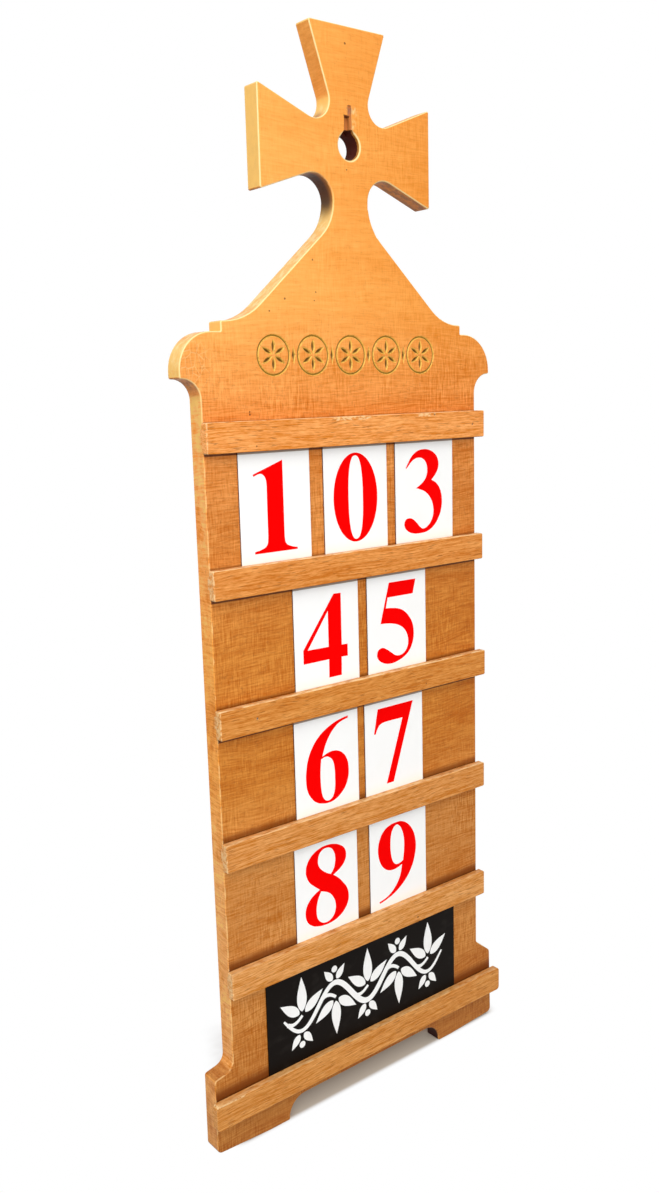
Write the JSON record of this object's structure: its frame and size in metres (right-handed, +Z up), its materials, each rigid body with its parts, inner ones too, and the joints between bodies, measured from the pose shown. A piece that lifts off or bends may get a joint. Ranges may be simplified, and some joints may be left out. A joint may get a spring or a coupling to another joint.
{
  "type": "hymn board",
  "caption": "Tall wooden hymn board topped with a cross, with slotted rails holding sliding number cards and a title card.",
  "frame": {"origin": "centre of the hanging hole, on the board's back face", "axes": "+Z up the board, +Y out of its back into the wall, +X to the right for someone reading it"},
  "size_m": [0.3443, 0.0256, 0.927],
  "materials": {
    "board_wood": "waxed, arrises rubbed pale",
    "rail_wood": "waxed, open grain",
    "pin_steel": "dulled",
    "card_face": "satin white",
    "title_face": "satin black"
  },
  "bodies": {
    "board": {"backboard": "board_wood", "rail_1": "rail_wood", "rail_2": "rail_wood", "rail_3": "rail_wood", "rail_4": "rail_wood", "rail_5": "rail_wood", "rail_6": "rail_wood", "rail_pins_1": "pin_steel", "rail_pins_2": "pin_steel", "rail_pins_3": "pin_steel", "rail_pins_4": "pin_steel", "rail_pins_5": "pin_steel", "rail_pins_6": "pin_steel"},
    "card_one_body": {"card_one": "card_face"},
    "card_zero_body": {"card_zero": "card_face"},
    "card_three_body": {"card_three": "card_face"},
    "card_four_body": {"card_four": "card_face"},
    "card_five_body": {"card_five": "card_face"},
    "card_six_body": {"card_six": "card_face"},
    "card_seven_body": {"card_seven": "card_face"},
    "card_eight_body": {"card_eight": "card_face"},
    "card_nine_body": {"card_nine": "card_face"},
    "title_card_body": {"title_card": "title_face"}
  },
  "joints": [
    {"name": "card_one_slide", "type": "slide", "parent": "board", "child": "card_one_body", "axis": [1, 0, 0], "range_m": [-0.1015, 0.007]},
    {"name": "card_zero_slide", "type": "slide", "parent": "board", "child": "card_zero_body", "axis": [1, 0, 0], "range_m": [-0.007, 0.0045]},
    {"name": "card_three_slide", "type": "slide", "parent": "board", "child": "card_three_body", "axis": [1, 0, 0], "range_m": [-0.005, 0.103]},
    {"name": "card_four_slide", "type": "slide", "parent": "board", "child": "card_four_body", "axis": [1, 0, 0], "range_m": [-0.1505, 0.005]},
    {"name": "card_five_slide", "type": "slide", "parent": "board", "child": "card_five_body", "axis": [1, 0, 0], "range_m": [-0.005, 0.1415]},
    {"name": "card_six_slide", "type": "slide", "parent": "board", "child": "card_six_body", "axis": [1, 0, 0], "range_m": [-0.1465, 0.0039]},
    {"name": "card_seven_slide", "type": "slide", "parent": "board", "child": "card_seven_body", "axis": [1, 0, 0], "range_m": [-0.0039, 0.1465]},
    {"name": "card_eight_slide", "type": "slide", "parent": "board", "child": "card_eight_body", "axis": [1, 0, 0], "range_m": [-0.1425, 0.0072]},
    {"name": "card_nine_slide", "type": "slide", "parent": "board", "child": "card_nine_body", "axis": [1, 0, 0], "range_m": [-0.0072, 0.1435]},
    {"name": "title_card_slide", "type": "slide", "parent": "board", "child": "title_card_body", "axis": [1, 0, 0], "range_m": [-0.286, 0.286]}
  ]
}
